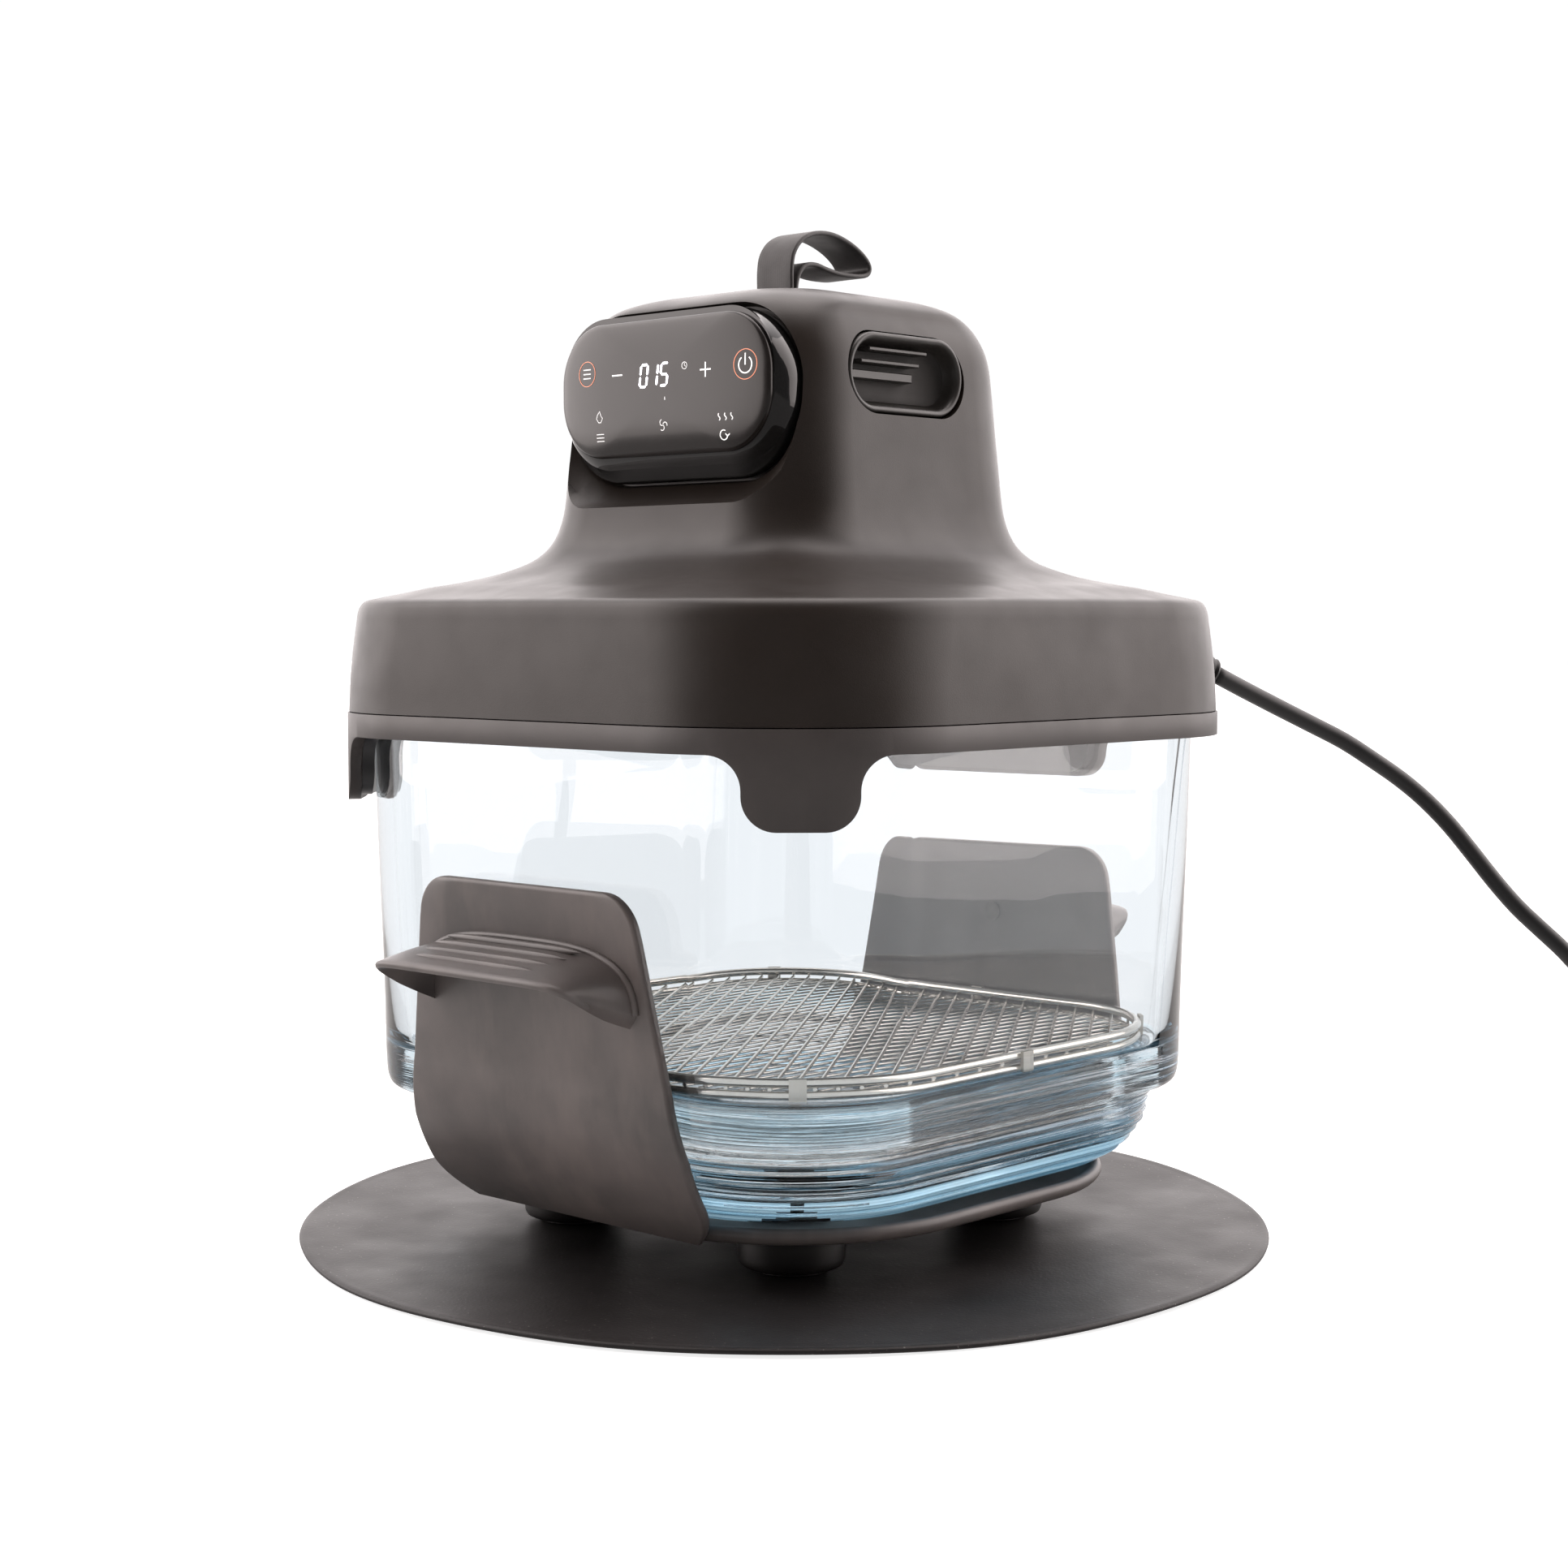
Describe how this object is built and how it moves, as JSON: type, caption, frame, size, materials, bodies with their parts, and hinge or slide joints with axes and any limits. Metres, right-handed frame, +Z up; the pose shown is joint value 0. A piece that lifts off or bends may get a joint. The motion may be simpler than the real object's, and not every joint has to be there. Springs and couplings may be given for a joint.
{
  "type": "glass bowl air fryer",
  "caption": "Countertop hot-air cooker: a power head with a touch panel lifts off a square glass bowl that sits in a cradle with two grips on a round mat.",
  "frame": {"origin": "middle of the round mat, on its underside, where the appliance rests on the counter", "axes": "+Z up, -Y towards the user (control panel and front grip), +X to the right seen from the front"},
  "size_m": [0.4404, 0.4301, 0.3327],
  "materials": {
    "mat": "matte, fine fabric-backed grain",
    "cradle_plastic": "matte, soft-touch",
    "rubber": "matte",
    "steel": "satin",
    "glass": "clear, thick blue-tinted base",
    "wire": "polished stainless wire",
    "head_plastic": "matte, fine grain",
    "ring_plastic": "matte, soft-touch",
    "liner": "semi-matte silicone",
    "gasket": "silicone",
    "pan_metal": "satin",
    "element": "heat-darkened sheath",
    "white_plastic": "matte",
    "motor_metal": "zinc-plated",
    "bronze": "satin",
    "board": "solder-resist green",
    "pod_gloss": "piano black",
    "display": "translucent diffuser",
    "lens_gloss": "glossy touch panel with lit symbols",
    "vent_plastic": "matte",
    "loop_rubber": "fine cloth-grain strap",
    "cord_rubber": "semi-matte PVC"
  },
  "bodies": {
    "stand": {"heat_mat": "mat", "cradle": "cradle_plastic", "feet": "cradle_plastic", "foot_pads": "rubber", "foot_screws": "steel", "bowl_pads": "rubber", "front_grip": "cradle_plastic", "rear_grip": "cradle_plastic", "grip_screws": "steel"},
    "bowl": {"glass_bowl": "glass", "cord_coil": "cord_rubber", "cord_tie": "rubber", "plug_body": "cord_rubber", "plug_blades": "bronze"},
    "rack": {"rack_lower_ring": "wire", "rack_upper_ring": "wire", "rack_clips": "wire", "rack_thick_wires": "wire", "rack_fine_wires": "wire"},
    "head": {"head_shell": "head_plastic", "rim_ring": "ring_plastic", "tab_liners": "liner", "bowl_gasket": "gasket", "heat_shield": "pan_metal", "element_guard": "wire", "heating_element": "element", "motor": "motor_metal", "motor_bearings": "bronze", "motor_bracket": "pan_metal", "temperature_sensor": "steel", "thermal_fuse": "white_plastic", "power_board": "board", "control_board": "board", "control_pod": "pod_gloss", "display_board": "board", "display_module": "display", "panel_lens": "lens_gloss", "right_vent": "vent_plastic", "left_vent": "vent_plastic", "lift_loop": "loop_rubber", "loop_anchor": "pan_metal", "anchor_screws": "steel", "head_screws": "steel", "cord_gland": "cord_rubber", "power_cord": "cord_rubber"},
    "fan": {"hot_air_fan": "pan_metal", "fan_nut": "steel", "motor_shaft": "steel", "cooling_fan": "white_plastic"}
  },
  "joints": [
    {"name": "bowl_lift", "type": "slide", "parent": "stand", "child": "bowl", "axis": [0, 0, 1], "range_m": [0, 0.105]},
    {"name": "rack_lift", "type": "slide", "parent": "bowl", "child": "rack", "axis": [0, 0, 1], "range_m": [0, 0.09]},
    {"name": "head_lift", "type": "slide", "parent": "bowl", "child": "head", "axis": [0, 0, 1], "range_m": [0, 0.08]},
    {"name": "fan_spin", "type": "hinge", "parent": "head", "child": "fan", "pos_m": [0, 0, 0.19], "axis": [0, 0, 1], "continuous": true}
  ]
}
